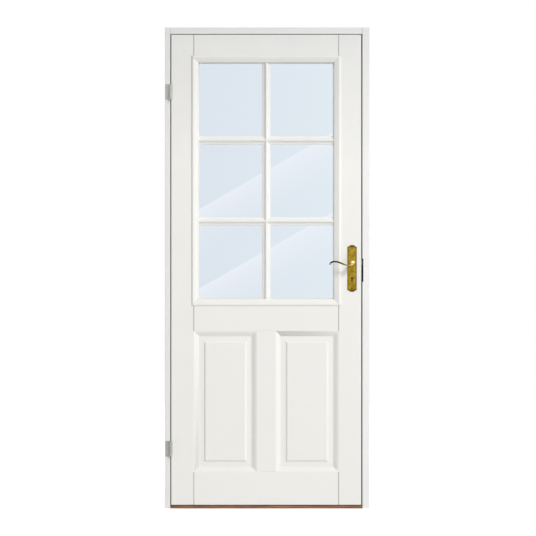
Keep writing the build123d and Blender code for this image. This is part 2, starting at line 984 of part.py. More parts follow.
def lever_grip():
    """The cast S-shaped grip: ellipses lofted along its middle line, ending in a small scroll."""
    points = [(x, 0, z) for x, z, _, _ in lever_stations]
    path = Spline(*points)
    sections = []
    for (_, _, half_depth, half_height), point in zip(lever_stations, points):
        tangent = path % path.param_at_point(point)
        plane = Plane(origin=point, x_dir=(0, 1, 0), z_dir=tangent)
        sections.append(plane * Ellipse(half_depth, half_height))
    grip = loft(sections)
    end_x, end_z = lever_stations[-1][:2]
    scroll = Rot(90, 0, 0) * Cylinder(scroll_radius, 2 * scroll_half_width)
    scroll = fillet(scroll.edges().filter_by(GeomType.CIRCLE), 1.2)
    return grip + Pos(end_x, 0, end_z - 0.8) * scroll


def lever_neck():
    """Turned neck: journal in the plate, collar, waist and a domed hub, along -Y from the leaf."""
    gap = plate_thickness + lever_play
    hub = plate_thickness + lever_standoff
    profile = outline(
        (0, lever_play),
        (lever_journal, lever_play),
        (lever_journal, gap),
        (lever_collar, gap),
        (lever_collar, gap + 3),
        (8.6, gap + 5, 0.5),
        (6.6, gap + 13, 0.9),
        (6.6, hub - 15),
        (9.6, hub - 6, 1.0),
        (9.6, hub + 3, -0.8),
        (5.0, hub + 8, -0.8),
        (0, hub + 9.5, -dome_bow(5.0, 1.5)),
    )
    return Rot(90, 0, 0) * revolve(Plane.XZ * profile, Axis.Z)


def front_lever():
    lever = lever_neck() + Pos(0, -plate_thickness - lever_standoff, 0) * lever_grip()
    half = spindle_size / 2 + running_play
    socket = (-plate_thickness - spindle_reach - 0.5, 1)
    lever -= block((-half, half), socket, (-half, half))
    return Pos(spindle_x, front, spindle_z) * lever


def frame_fixings():
    """Sleeve holes through each jamb, hidden by the closed leaf."""
    middle = frame_height / 2
    heights = []
    for spacing in (fixing_outer_spacing, fixing_inner_spacing):
        heights += [middle - spacing / 2, middle + spacing / 2]
    bore = Rot(0, 90, 0) * Cylinder(frame_fixing_radius, frame_width + 2)
    return [Pos(0, leaf_middle, z) * bore for z in heights]


def assembly_screw_places():
    """Through the jambs into the ends of the head and the threshold."""
    head_z = frame_height - head_face / 2
    low_z = threshold_height / 2
    places = []
    for z, depths in ((head_z, (-28.0, 18.0)), (low_z, (-28.0, 18.0))):
        for y in depths:
            places.append(pointing(into_plus_x, -frame_width / 2, y, z))
            places.append(pointing(into_minus_x, frame_width / 2, y, z))
    return places


def frame_parts():
    assembly_screws, assembly_holes = screw_set(assembly_screw_places(), 70.0, 2.2, 4.4)
    hinge_screws, hinge_holes = screw_set(hinge_frame_screw_places(), 26.0, 1.9, 3.6)
    strike_screws, strike_screw_holes = screw_set(strike_screw_places(), 22.0, 1.8, 3.3)
    z_range = (0, frame_height)
    hinge_leaves = {name: hinge_frame_leaf(z) for name, z in hinge_heights.items()}
    hinge_jamb = along_z(jamb_section(-1, hinge_jamb_face), z_range)
    hinge_jamb -= [*frame_fixings(), *assembly_holes, *hinge_holes, *hinge_leaves.values()]
    hinge_jamb -= [upright_seal(1, seal_kerf_section()), head_seal(seal_kerf_section())]
    lock_jamb = along_z(jamb_section(1, lock_jamb_face), z_range)
    lock_jamb -= [*frame_fixings(), *assembly_holes, *strike_screw_holes]
    lock_jamb -= [strike_plate(), strike_holes(latch_pocket, bolt_pocket)]
    lock_jamb -= [upright_seal(-1, seal_kerf_section()), head_seal(seal_kerf_section())]
    strike = strike_plate() - strike_holes(strike_thickness + 1, strike_thickness + 1)
    return {
        "hinge_jamb": hinge_jamb,
        "lock_jamb": lock_jamb,
        "frame_head": head_piece() - assembly_holes - head_seal(seal_kerf_section()),
        "threshold": threshold_piece() - assembly_holes,
        "hinge_side_seal": upright_seal(1, seal_section()),
        "lock_side_seal": upright_seal(-1, seal_section()),
        "head_seal": head_seal(seal_section()),
        "frame_assembly_screws": assembly_screws,
        "upper_hinge_frame_leaf": hinge_leaves["upper"] - hinge_holes,
        "lower_hinge_frame_leaf": hinge_leaves["lower"] - hinge_holes,
        "upper_hinge_pin": hinge_pin(hinge_heights["upper"]),
        "lower_hinge_pin": hinge_pin(hinge_heights["lower"]),
        "hinge_frame_screws": hinge_screws,
        "strike_plate": strike - strike_screw_holes,
        "strike_screws": strike_screws,
    }


def leaf_parts():
    hinge_screws, hinge_holes = screw_set(hinge_door_screw_places(), 28.0, 1.9, 3.6)
    face_screws, face_holes = screw_set(faceplate_screw_places(), 20.0, 1.8, 3.3)
    plate_screws, plate_holes = screw_set(plate_screw_places(), 18.0, 1.5, 3.0)
    hinge_leaves = {name: hinge_door_leaf(z) for name, z in hinge_heights.items()}
    plate = long_plate()
    parts = {
        "hinge_stile": stile(-1) - [*hinge_holes, *hinge_leaves.values()],
        "lock_stile": stile(1) - [lock_mortise(), *face_holes, *plate_holes],
        "top_rail": rail("top_rail"),
        "lock_rail": rail("lock_rail"),
        "bottom_rail": rail("bottom_rail"),
        "mullion": mullion(),
        "left_panel": raised_panel(-1),
        "right_panel": raised_panel(1),
        "glass_pane": glass_pane(),
        "upper_hinge_door_leaf": hinge_leaves["upper"] - hinge_holes,
        "lower_hinge_door_leaf": hinge_leaves["lower"] - hinge_holes,
        "hinge_door_screws": hinge_screws,
        "lock_case": lock_case(),
        "lock_cover": lock_cover(),
        "lock_faceplate": faceplate_blank() - [latch_window(), bolt_window(), *face_holes],
        "faceplate_screws": face_screws,
        "front_long_plate": plate - plate_holes,
        "back_long_plate": mirrored_in_leaf(plate) - plate_holes,
        "plate_screws": plate_screws,
    }
    for face in ("front", "back"):
        for side, length in beads(face).items():
            parts[f"{face}_bead_{side}"] = length
        upright, levels = glazing_bars(face)
        parts[f"{face}_upright_bar"] = upright
        parts[f"{face}_level_bars"] = levels
    return parts


def moving_parts():
    lever = front_lever()
    return {
        "front_lever": lever,
        "back_lever": mirrored_in_leaf(lever),
        "spindle": spindle(),
        "follower": follower(),
        "latch_bolt": latch_bolt(),
        "deadbolt": deadbolt(),
    }


os.makedirs("parts", exist_ok=True)
for name, piece in {**frame_parts(), **leaf_parts(), **moving_parts()}.items():
    export_step(piece, f"parts/{name}.step")
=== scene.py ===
import math

import bmesh
import bpy
from mathutils import Matrix, Vector


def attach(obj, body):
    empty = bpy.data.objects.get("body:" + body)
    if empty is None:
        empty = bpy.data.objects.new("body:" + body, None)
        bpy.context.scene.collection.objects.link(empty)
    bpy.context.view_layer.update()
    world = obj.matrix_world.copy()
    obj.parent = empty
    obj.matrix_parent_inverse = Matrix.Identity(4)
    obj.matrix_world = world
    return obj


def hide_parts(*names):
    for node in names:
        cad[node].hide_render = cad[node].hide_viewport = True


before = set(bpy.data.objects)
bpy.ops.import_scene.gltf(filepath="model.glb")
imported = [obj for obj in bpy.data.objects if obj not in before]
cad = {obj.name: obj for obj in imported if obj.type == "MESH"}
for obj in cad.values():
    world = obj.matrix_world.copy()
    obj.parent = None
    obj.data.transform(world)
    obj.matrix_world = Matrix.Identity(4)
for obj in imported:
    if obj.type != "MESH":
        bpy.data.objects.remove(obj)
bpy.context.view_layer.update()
scene = bpy.context.scene
print("frame loaded:", len(cad), "nodes")


class Wire:  # one value in a node tree; a sum on it adds a Math node
    def __init__(self, nodes, socket):
        self.nodes = nodes
        self.socket = socket

    def __add__(self, other): return self.nodes.maths("ADD", self, other)
    def __radd__(self, other): return self.nodes.maths("ADD", other, self)
    def __sub__(self, other): return self.nodes.maths("SUBTRACT", self, other)
    def __rsub__(self, other): return self.nodes.maths("SUBTRACT", other, self)
    def __mul__(self, other): return self.nodes.maths("MULTIPLY", self, other)
    def __rmul__(self, other): return self.nodes.maths("MULTIPLY", other, self)
    def __truediv__(self, other): return self.nodes.maths("DIVIDE", self, other)
    def __rtruediv__(self, other): return self.nodes.maths("DIVIDE", other, self)


class Nodes:  # a node tree; every node in it comes from add
    def __init__(self, tree):
        self.tree = tree

    def add(self, kind, settings=None, values=None, out=0):
        node = self.tree.nodes.new(kind)
        for key, value in (settings or {}).items():
            if key == "stops":
                ramp = node.color_ramp
                while len(ramp.elements) < len(value):
                    ramp.elements.new(0.5)
                for element, (place, colour) in zip(ramp.elements, value):
                    element.position = place
                    element.color = colour
            else:
                setattr(node, key, value)
        for key, value in (values or {}).items():
            self.feed(node.inputs[key], value)
        return Wire(self, node.outputs[out])

    def feed(self, socket, value):
        if isinstance(value, Wire):
            self.tree.links.new(value.socket, socket)
        else:
            socket.default_value = value

    def maths(self, operation, *values):
        return self.add("ShaderNodeMath", {"operation": operation}, dict(enumerate(values)))

    def size(self, value):
        return self.maths("ABSOLUTE", value)

    def coords(self, scale=(1, 1, 1)):
        point = self.add("ShaderNodeTexCoord", out="Object")
        return self.add("ShaderNodeMapping", {}, {"Vector": point, "Scale": scale})

    def axis(self, letter):
        point = self.add("ShaderNodeTexCoord", out="Object")
        return self.add("ShaderNodeSeparateXYZ", {}, {0: point}, out=letter)

    def attribute(self, name):
        return self.add("ShaderNodeAttribute", {"attribute_name": name}, out="Fac")

    def rays(self, kind):
        return self.add("ShaderNodeLightPath", out=kind)

    def noise(self, where, scale, detail=3, rough=0.55):
        values = {"Vector": where, "Scale": scale, "Detail": detail, "Roughness": rough}
        return self.add("ShaderNodeTexNoise", {}, values)

    def span(self, value, low, high, toLow=0.0, toHigh=1.0):  # low..high becomes toLow..toHigh, clamped
        return self.add("ShaderNodeMapRange", {}, {0: value, 1: low, 2: high, 3: toLow, 4: toHigh})

    def mix(self, factor, first, second):
        return self.add("ShaderNodeMix", {"data_type": "RGBA"}, {0: factor, 6: first, 7: second}, out=2)


class Finish(Nodes):  # a material
    def __init__(self, name, **fixed):
        self.material = bpy.data.materials.new(name)
        self.material.use_nodes = True
        super().__init__(self.material.node_tree)
        self.shader = self.tree.nodes["Principled BSDF"]
        for socket, value in fixed.items():
            self.shader.inputs[socket.replace("_", " ")].default_value = value

    def put(self, socket, value):
        self.feed(self.shader.inputs[socket], value)

    def bump(self, height, distance, strength=1.0):
        values = {"Height": height, "Distance": distance, "Strength": strength}
        self.put("Normal", self.add("ShaderNodeBump", {}, values))


def rgb(red, green, blue):  # a colour as the photograph shows it, 0 to 255
    parts = [c / 255 for c in (red, green, blue)]
    return [c / 12.92 if c <= 0.04045 else ((c + 0.055) / 1.055) ** 2.4 for c in parts] + [1.0]


paintLook = {  # places in metres
    # painted light: the frame's right colour is lighter than its left, as the light falls from the right; the
    # leaf's two are alike. shade and topShade are painted shade, darker towards the top
    "leafLeft": rgb(239, 238, 234), "leafRight": rgb(239, 238, 234),
    "frameLeft": rgb(232, 231, 229), "frameRight": rgb(240, 240, 239), "leftToRight": (-0.44, 0.3),
    "shade": rgb(212, 212, 211), "topShade": 0.75, "shadeHeights": (1.5, 2.05),
    "cloudScale": 3.0, "cloudDepth": 0.35, "cloudTone": 0.965, "dustAndSeamShade": rgb(150, 147, 140),
    "leafMiddle": -0.0045, "shoulder": 0.3145, "lineWide": 0.0024, "lineShade": 0.9,
    "panelMiddle": 0.4645, "panelHalf": 0.3055,  # the shoulder lines stop at the panels
    "glassMiddle": 1.4225, "mitre": 0.2195, "mitreWide": (0.0011, 0.0003), "mitreShade": 0.7,
    "frameMiddle": -0.004, "jambJoint": 0.4165, "jointWide": (0.0016, 0.0004),
    "jointHeights": (2.0885, 2.05), "jointShade": (0.15, 0.75),
    "rough": (0.36, 0.5), "coat": 0.15, "coatRough": 0.3,
    "brushScale": 60.0, "brushDetail": 5, "brushShare": 0.8, "peelScale": 900.0, "brushDepth": 0.00006,
}


def paint(name, left, right, grain, kind="tintAndPaintedReflection"):
    look = paintLook
    finish = Finish(name, Coat_Weight=look["coat"], Coat_Roughness=look["coatRough"])
    x, z = finish.axis("X"), finish.axis("Z")
    # painted light, lighter towards the right, then painted shade, darker towards the top
    wide = finish.mix(finish.span(x, *look["leftToRight"]), left, right)
    wide = finish.mix(finish.span(z, *look["shadeHeights"], 0.0, look["topShade"]), wide, look["shade"])
    cloud = finish.noise(finish.coords(), look["cloudScale"], 4)
    darker = [c * look["cloudTone"] for c in left[:3]] + [1]
    wornAndPaintedLight = finish.mix(finish.span(cloud, 0.3, 0.75, 0.0, look["cloudDepth"]), wide, darker)
    off = finish.size(x - look["leafMiddle"])
    paintedSeamShade = None
    if kind == "framing":  # painted shade in the shoulder lines between stiles and rails, where the grooves fall dark
        line = finish.size(off - look["shoulder"])
        beyond = finish.size(z - look["panelMiddle"])
        paintedSeamShade = finish.span(line, look["lineWide"], look["lineWide"] * 0.4) * look["lineShade"]
        paintedSeamShade = paintedSeamShade * finish.maths("GREATER_THAN", beyond, look["panelHalf"])
    if kind == "bead":  # painted shade in the mitres of the beads
        up = finish.size(z - look["glassMiddle"])
        paintedSeamShade = finish.span(finish.size(off - up + look["mitre"]), *look["mitreWide"]) * look["mitreShade"]
    if kind == "frame":  # painted shade in a line along each jamb's inner edge, beside the gap to the leaf, faint over the head
        line = finish.size(finish.size(x - look["frameMiddle"]) - look["jambJoint"])
        shadeByHeight = finish.span(z, *look["jointHeights"], *look["jointShade"])
        paintedSeamShade = finish.span(line, *look["jointWide"]) * shadeByHeight
    # painted shade darkens the paint along the seams, patchy with the cloud
    if paintedSeamShade:
        wornAndPaintedLight = finish.mix(paintedSeamShade * finish.span(cloud, 0.2, 0.8, 0.7, 1.0), wornAndPaintedLight, look["dustAndSeamShade"])
    finish.put("Base Color", wornAndPaintedLight)
    strokes = finish.noise(finish.coords(grain), look["brushScale"], look["brushDetail"], 0.6)
    peel = finish.noise(finish.coords(), look["peelScale"], 2)
    finish.put("Roughness", finish.span(strokes, 0.3, 0.7, *look["rough"]))
    finish.bump(strokes * look["brushShare"] + peel * (1 - look["brushShare"]), look["brushDepth"])
    return finish.material


brushAlongZ = (6, 6, 0.25)
brushAlongX = (0.25, 6, 6)


def leafPaint(name, grain, kind="tintAndPaintedReflection"):
    return paint(name, paintLook["leafLeft"], paintLook["leafRight"], grain, kind)


def framePaint(name, grain):
    return paint(name, paintLook["frameLeft"], paintLook["frameRight"], grain, "frame")


woodLook = {
    "dark": rgb(86, 50, 24), "middle": rgb(136, 94, 60), "pale": rgb(166, 124, 86),
    "grain": (0.35, 9, 9), "grainScale": 22.0, "pores": (1.2, 60, 60), "poreScale": 30.0,
    "rough": (0.5, 0.36), "poreDepth": 0.0002,
}


def hardwood():
    look = woodLook
    finish = Finish("oiledHardwood")
    grain = finish.noise(finish.coords(look["grain"]), look["grainScale"], 8, 0.62)
    pores = finish.noise(finish.coords(look["pores"]), look["poreScale"], 3, 0.7)
    stops = [(0.3, look["dark"]), (0.5, look["middle"]), (0.7, look["pale"])]
    bands = finish.add("ShaderNodeValToRGB", {"stops": stops}, {0: grain})
    finish.put("Base Color", finish.mix(finish.span(pores, 0.55, 0.75, 0.0, 0.5), bands, look["dark"]))
    finish.put("Roughness", finish.span(grain, 0.3, 0.7, *look["rough"]))
    finish.bump(pores, look["poreDepth"], 0.7)
    return finish.material


glassLook = {
    "left": rgb(219, 228, 237), "right": rgb(224, 234, 242), "leftToRight": (-0.3, 0.3),
    "paintedReflection": rgb(237, 241, 249), "streakTops": (1.467, 1.122), "streakFade": 0.24, "streakDepth": 0.8,
    "slope": 0.573, "edge": 0.008, "bend": 1.45,
}


def glass():
    look = glassLook
    finish = Finish("clearGlass", Roughness=0.0, IOR=look["bend"], Transmission_Weight=1.0)
    across = finish.axis("X")
    # painted light: the glass grows lighter towards the right
    tintAndPaintedReflection = finish.mix(finish.span(across, *look["leftToRight"]), look["left"], look["right"])
    climb = finish.axis("Z") - across * look["slope"]
    for top in look["streakTops"]:  # painted reflection: slanting bands with a sharp upper edge
        edge = finish.span(climb, top + look["edge"], top - look["edge"] / 2)
        fade = finish.span(climb, top - look["streakFade"], top)
        tintAndPaintedReflection = finish.mix(edge * fade * fade * look["streakDepth"], tintAndPaintedReflection, look["paintedReflection"])
    finish.put("Base Color", tintAndPaintedReflection)
    return finish.material


brassLook = {  # places and sizes in metres
    "bright": rgb(188, 158, 58), "body": rgb(148, 120, 28), "patina": rgb(78, 54, 16),
    "oxide": rgb(26, 20, 12), "rubbed": rgb(244, 218, 150),
    "cloudScale": 55.0, "speckScale": 420.0, "speckDepth": 0.7, "rough": (0.2, 0.4), "pits": 0.00008,
    "plateMiddle": (0.368, 1.04225), "plateHalf": (0.0208, 0.1005), "rimPatina": 0.9, "highlightDepth": 0.85,
}


def brass(name, kind):
    look = brassLook
    finish = Finish(name, Metallic=1.0)
    cloud = finish.noise(finish.coords(), look["cloudScale"], 6, 0.65)
    speck = finish.noise(finish.coords(), look["speckScale"], 3, 0.6)
    tone = finish.mix(finish.span(cloud, 0.35, 0.65), look["body"], look["bright"])
    tone = finish.mix(finish.span(speck, 0.48, 0.75, 0.0, look["speckDepth"]), tone, look["patina"])
    if kind == "plate":  # patina stays along the rim, where no hand rubs it off
        (x, z), (halfWide, halfTall) = look["plateMiddle"], look["plateHalf"]
        aside = finish.size(finish.axis("X") - x) / halfWide + cloud * 0.3
        along = finish.size(finish.axis("Z") - z) / halfTall + cloud * 0.05
        rim = finish.maths("MAXIMUM", finish.span(aside, 0.86, 1.1), finish.span(along, 0.9, 0.99))
        tone = finish.mix(rim * look["rimPatina"], tone, look["patina"])
    if kind == "screw":
        tone = finish.mix(finish.span(cloud, 0.3, 0.7, 0.95, 0.6), tone, look["patina"])
    if kind == "lever":
        # painted highlight, then painted dark reflection, read from the lever's mesh
        tone = finish.mix(finish.attribute("rubbed") * look["highlightDepth"], tone, look["rubbed"])
        oxide = finish.attribute("oxide") + cloud * 0.3 - 0.15
        tone = finish.mix(finish.span(oxide, 0.1, 0.8), tone, look["oxide"])
    finish.put("Base Color", tone)
    finish.put("Roughness", finish.span(cloud + speck, 0.7, 1.3, *look["rough"]))
    finish.bump(speck, look["pits"])
    return finish.material


steelLook = {
    "drawn": (8, 8, 0.4), "drawnScale": 120.0, "drawnDepth": 0.00004, "stainScale": 45.0,
    "smoother": 0.07, "rougher": 0.1,
}


def steel(name, pale, dark, rough):
    look = steelLook
    finish = Finish(name, Metallic=1.0)
    drawn = finish.noise(finish.coords(look["drawn"]), look["drawnScale"], 4, 0.7)
    stain = finish.noise(finish.coords(), look["stainScale"], 4)
    tone = finish.mix(drawn, pale, dark)
    finish.put("Base Color", finish.mix(finish.span(stain, 0.5, 0.8, 0.0, 0.5), tone, dark))
    finish.put("Roughness", finish.span(stain, 0.3, 0.7, rough - look["smoother"], rough + look["rougher"]))
    finish.bump(drawn, look["drawnDepth"])
    return finish.material


rubberLook = {"dusty": rgb(104, 102, 98), "bare": rgb(74, 73, 70), "dustScale": 80.0, "dustDepth": 0.0001}


def rubber():
    finish = Finish("sealRubber", Roughness=0.75)
    dustAndSeamShade = finish.noise(finish.coords(), rubberLook["dustScale"], 4)
    finish.put("Base Color", finish.mix(dustAndSeamShade, rubberLook["dusty"], rubberLook["bare"]))
    finish.bump(dustAndSeamShade, rubberLook["dustDepth"])
    return finish.material


leafUpright = leafPaint("leafPaintUpright", brushAlongZ)
leafLevel = leafPaint("leafPaintLevel", brushAlongX)
stilePaint = leafPaint("stilePaint", brushAlongZ, "framing")
railPaint = leafPaint("railPaint", brushAlongX, "framing")
beadUpright = leafPaint("beadPaintUpright", brushAlongZ, "bead")
beadLevel = leafPaint("beadPaintLevel", brushAlongX, "bead")
frameUpright = framePaint("framePaintUpright", brushAlongZ)
frameLevel = framePaint("framePaintLevel", brushAlongX)
oiledHardwood = hardwood()
clearGlass = glass()
plateBrass = brass("agedBrassPlate", "plate")
leverBrass = brass("agedBrassLever", "lever")
screwBrass = brass("agedBrassScrew", "screw")
# near-black steel for the lock levers: painted shade behind the keyhole
blackSteel = steel("blackSteel", rgb(30, 28, 26), rgb(14, 13, 12), 0.7)
zincSteel = steel("zincSteel", rgb(196, 196, 190), rgb(150, 150, 144), 0.42)
# the strike plate and its screws are real; their near-black tone is painted shade for the shadowed strike
# recess
darkSteel = steel("darkSteel", rgb(52, 50, 48), rgb(24, 23, 22), 0.45)
sealRubber = rubber()
print("finishes made")

nodesOfFinish = [
    (frameUpright, "hinge_jamb lock_jamb"),
    (frameLevel, "frame_head"),
    (oiledHardwood, "threshold"),
    (sealRubber, "hinge_side_seal lock_side_seal head_seal"),
    (stilePaint, "hinge_stile lock_stile"),
    (railPaint, "top_rail lock_rail bottom_rail"),
    (leafUpright, "mullion left_panel right_panel front_upright_bar back_upright_bar"),
    (leafLevel, "front_level_bars back_level_bars"),
    (beadUpright, "front_bead_left front_bead_right back_bead_left back_bead_right"),
    (beadLevel, "front_bead_top front_bead_bottom back_bead_top back_bead_bottom"),
    (clearGlass, "glass_pane"),
    (plateBrass, "front_long_plate back_long_plate"),
    (screwBrass, "plate_screws"),
    (leverBrass, "front_lever back_lever"),
    (darkSteel, "strike_plate strike_screws"),
    (zincSteel, "frame_assembly_screws hinge_frame_screws hinge_door_screws faceplate_screws"),
    (zincSteel, "upper_hinge_frame_leaf lower_hinge_frame_leaf upper_hinge_door_leaf lower_hinge_door_leaf"),
    (zincSteel, "upper_hinge_pin lower_hinge_pin lock_case lock_cover lock_faceplate"),
    (zincSteel, "latch_bolt deadbolt spindle follower"),
]
finishOfNode = {node: finish for finish, nodes in nodesOfFinish for node in nodes.split()}
for node, solid in cad.items():
    solid.data.materials.clear()
    solid.data.materials.append(finishOfNode[node])
print("finishes given to", len(finishOfNode), "nodes")


def place(name, mesh, finish, body, slot, replaced=None, smooth=False):
    data = bpy.data.meshes.new(name)
    mesh.to_mesh(data)
    mesh.free()
    data.materials.append(finish)
    if smooth:
        data.shade_smooth()
    piece = bpy.data.objects.new(name, data)
    scene.collection.objects.link(piece)
    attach(piece, body)
    if replaced:
        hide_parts(replaced)
    return piece


def join(whole, part):
    data = bpy.data.meshes.new("part")
    part.to_mesh(data)
    part.free()
    whole.from_mesh(data)
    bpy.data.meshes.remove(data)


def mergedCopy(node):
    mesh = bmesh.new()
    mesh.from_mesh(cad[node].data)
    bmesh.ops.remove_doubles(mesh, verts=mesh.verts, dist=1e-6)
    return mesh


def extrudeEdges(mesh, edges):  # gives the new ring's vertices and edges
    made = bmesh.ops.extrude_edge_only(mesh, edges=edges)["geom"]
    verts = [g for g in made if isinstance(g, bmesh.types.BMVert)]
    ring = [g for g in made if isinstance(g, bmesh.types.BMEdge) and all(v in verts for v in g.verts)]
    return verts, ring


def share(value, low, high):  # how far a value lies on the way from low to high, 0 to 1
    return min(max((value - low) / (high - low), 0), 1)


leverLook = {  # places in metres, the rest in millimetres
    "spindle": (0.368, 1.067), "front": -0.046, "leafMiddle": -0.026, "standoff": 42.5,
    "line": [  # from the spindle: across, up, half depth, half height
        (8.6, 4.6, 3.0, 2.8), (7.0, -0.6, 4.9, 4.5), (2.6, -6.0, 5.7, 5.1), (-4.5, -10.2, 5.7, 4.7),
        (-13, -12.2, 5.3, 4.0), (-24, -11.6, 4.9, 3.6), (-37, -7.4, 4.8, 3.5), (-50, -1.6, 4.9, 3.5),
        (-62, 2.8, 5.1, 3.7), (-74, 5.0, 5.2, 3.8), (-84, 4.0, 4.8, 3.6), (-90.5, 0.6, 4.2, 3.1),
        (-94.4, -3.2, 3.5, 2.5), (-95.4, -6.6, 2.8, 1.9), (-93.4, -8.6, 2.0, 1.4),
    ],
    "neck": [  # radius, and distance from the leaf
        (0, 0.4), (8.0, 0.4), (8.0, 2.8), (10.3, 2.9), (10.5, 3.4), (10.5, 5.2), (10.1, 5.8), (8.4, 7.0),
        (7.0, 10.5), (6.6, 16), (6.6, 26), (7.6, 31), (9.0, 35), (9.6, 38), (9.6, 43.5), (9.0, 46.5),
        (7.2, 49), (4, 50.8), (0, 51.4),
    ],
    "sides": 16, "turns": 32, "capInset": 0.7, "capRise": 0.8, "levels": 2,
    "darkReflectionStarts": (22, 48), "darkReflectionEnds": (99, 92), "darkReflectionBelow": (-0.95, -0.45),  # by distance, by slope
    "topDarkReflection": 0.35, "gripEnds": 8, "highlightEnds": (14, 6), "highlightBelow": 0.35, "highlightOut": (30, 34),
}


def leverArm():
    mesh = bmesh.new()
    stations = leverLook["line"]
    frames = []
    for index, (x, z, deep, tall) in enumerate(stations):
        before, after = stations[max(index - 1, 0)], stations[min(index + 1, len(stations) - 1)]
        slope = math.atan2(after[1] - before[1], after[0] - before[0])
        turn = Matrix.Rotation(-slope, 4, "Y") @ Matrix.Rotation(math.radians(90), 4, "Y")
        spot = Matrix.Translation((x / 1000, -leverLook["standoff"] / 1000, z / 1000))
        frames.append(spot @ turn @ Matrix.Diagonal((tall / 1000, deep / 1000, 1, 1)))
    ring = bmesh.ops.create_circle(mesh, cap_ends=True, segments=leverLook["sides"], radius=1.0)["verts"]
    bmesh.ops.transform(mesh, matrix=frames[0], verts=ring)
    edges = mesh.edges[:]
    for before, after in zip(frames, frames[1:]):
        verts, edges = extrudeEdges(mesh, edges)
        bmesh.ops.transform(mesh, matrix=after @ before.inverted(), verts=verts)
    bmesh.ops.edgeloop_fill(mesh, edges=edges)
    bmesh.ops.recalc_face_normals(mesh, faces=mesh.faces)
    inset, rise = leverLook["capInset"] / 1000, leverLook["capRise"] / 1000
    for cap in [f for f in mesh.faces if len(f.verts) > 4]:  # a rounded end, not a flat cut
        bmesh.ops.inset_region(mesh, faces=[cap], thickness=inset, depth=rise)
    return mesh


def leverNeck():  # turned about the spindle
    mesh = bmesh.new()
    verts = [mesh.verts.new((radius / 1000, 0, away / 1000)) for radius, away in leverLook["neck"]]
    edges = [mesh.edges.new(pair) for pair in zip(verts, verts[1:])]
    bmesh.ops.spin(
        mesh, geom=verts + edges, cent=(0, 0, 0), axis=(0, 0, 1), angle=math.tau,
        steps=leverLook["turns"], use_merge=True,
    )
    bmesh.ops.remove_doubles(mesh, verts=mesh.verts, dist=1e-6)
    bmesh.ops.rotate(mesh, verts=mesh.verts, matrix=Matrix.Rotation(math.radians(90), 3, "X"))
    bmesh.ops.recalc_face_normals(mesh, faces=mesh.faces)
    return mesh


def paintLeverReflections(mesh):  # painted dark reflection on top of the outer grip, painted highlight at the hub and under the grip
    look = leverLook
    mesh.normal_update()
    oxide = mesh.verts.layers.float.new("oxide")
    rubbed = mesh.verts.layers.float.new("rubbed")
    for v in mesh.verts:
        out = (look["spindle"][0] - v.co.x) * 1000
        away = (look["front"] - v.co.y) * 1000
        below = look["highlightBelow"] if v.normal.z < 0 else 0
        v[rubbed] = share(away, *look["highlightOut"]) * max(share(out, *look["highlightEnds"]), below)
        far = share(out, *look["darkReflectionStarts"]) * share(out, *look["darkReflectionEnds"])
        top = look["topDarkReflection"] * share(v.normal.z, 0, 1) if out > look["gripEnds"] else 0
        v[oxide] = max(far * share(v.normal.z, *look["darkReflectionBelow"]), top)


def makeLever(name, node, behind):
    mesh = leverArm()
    join(mesh, leverNeck())
    x, z = leverLook["spindle"]
    bmesh.ops.translate(mesh, vec=(x, leverLook["front"], z), verts=mesh.verts)
    paintLeverReflections(mesh)
    if behind:
        middle = Matrix.Translation((0, -leverLook["leafMiddle"], 0))
        bmesh.ops.scale(mesh, vec=(1, -1, 1), space=middle, verts=mesh.verts)
        bmesh.ops.recalc_face_normals(mesh, faces=mesh.faces)
    lever = place(name, mesh, leverBrass, "handle", "aged_brass", node, smooth=True)
    finer = lever.modifiers.new("finer", "SUBSURF")
    finer.levels = finer.render_levels = leverLook["levels"]


makeLever("frontLever", "front_lever", False)
makeLever("backLever", "back_lever", True)
print("levers made")

screwLook = {"sides": 20, "slotShare": 0.2, "slotDeep": 0.0009, "shaftShare": 0.7, "tipShare": 0.15}


def slottedScrew(head, shank, length):  # its head at the origin, its tip towards -Z
    mesh = bmesh.new()
    bmesh.ops.create_circle(mesh, cap_ends=True, segments=screwLook["sides"], radius=head)
    half = head * screwLook["slotShare"]
    for side in (-1, 1):
        cut = mesh.verts[:] + mesh.edges[:] + mesh.faces[:]
        bmesh.ops.bisect_plane(mesh, geom=cut, plane_co=(side * half, 0, 0), plane_no=(1, 0, 0))
    rim = [e for e in mesh.edges if len(e.link_faces) == 1]
    slot = [f for f in mesh.faces if abs(f.calc_center_median().x) < half / 2]
    shaft = length * screwLook["shaftShare"]
    rings = ((shank / head, head - shank), (1.0, shaft), (screwLook["tipShare"], length - shaft - head + shank))
    for narrower, down in rings:
        verts, rim = extrudeEdges(mesh, rim)
        bmesh.ops.scale(mesh, vec=(narrower, narrower, 1), verts=verts)
        bmesh.ops.translate(mesh, vec=(0, 0, -down), verts=verts)
    bmesh.ops.edgeloop_fill(mesh, edges=rim)
    region = slot + list({g for f in slot for g in f.edges[:] + f.verts[:]})
    sunk = bmesh.ops.extrude_face_region(mesh, geom=region)["geom"]
    floorVerts = [g for g in sunk if isinstance(g, bmesh.types.BMVert)]
    bmesh.ops.translate(mesh, vec=(0, 0, -screwLook["slotDeep"]), verts=floorVerts)
    bmesh.ops.recalc_face_normals(mesh, faces=mesh.faces)
    return mesh


def boxesOfSolids(node):  # lowest and highest corner of each solid in a node
    mesh = mergedCopy(node)
    left, boxes = set(mesh.verts), []
    while left:
        waiting, group = [left.pop()], []
        while waiting:
            v = waiting.pop()
            group.append(v.co.copy())
            near = {e.other_vert(v) for e in v.link_edges} & left
            left -= near
            waiting += near
        boxes.append([Vector(pick(c[i] for c in group) for i in range(3)) for pick in (min, max)])
    mesh.free()
    return sorted(boxes, key=lambda box: tuple(box[0]))


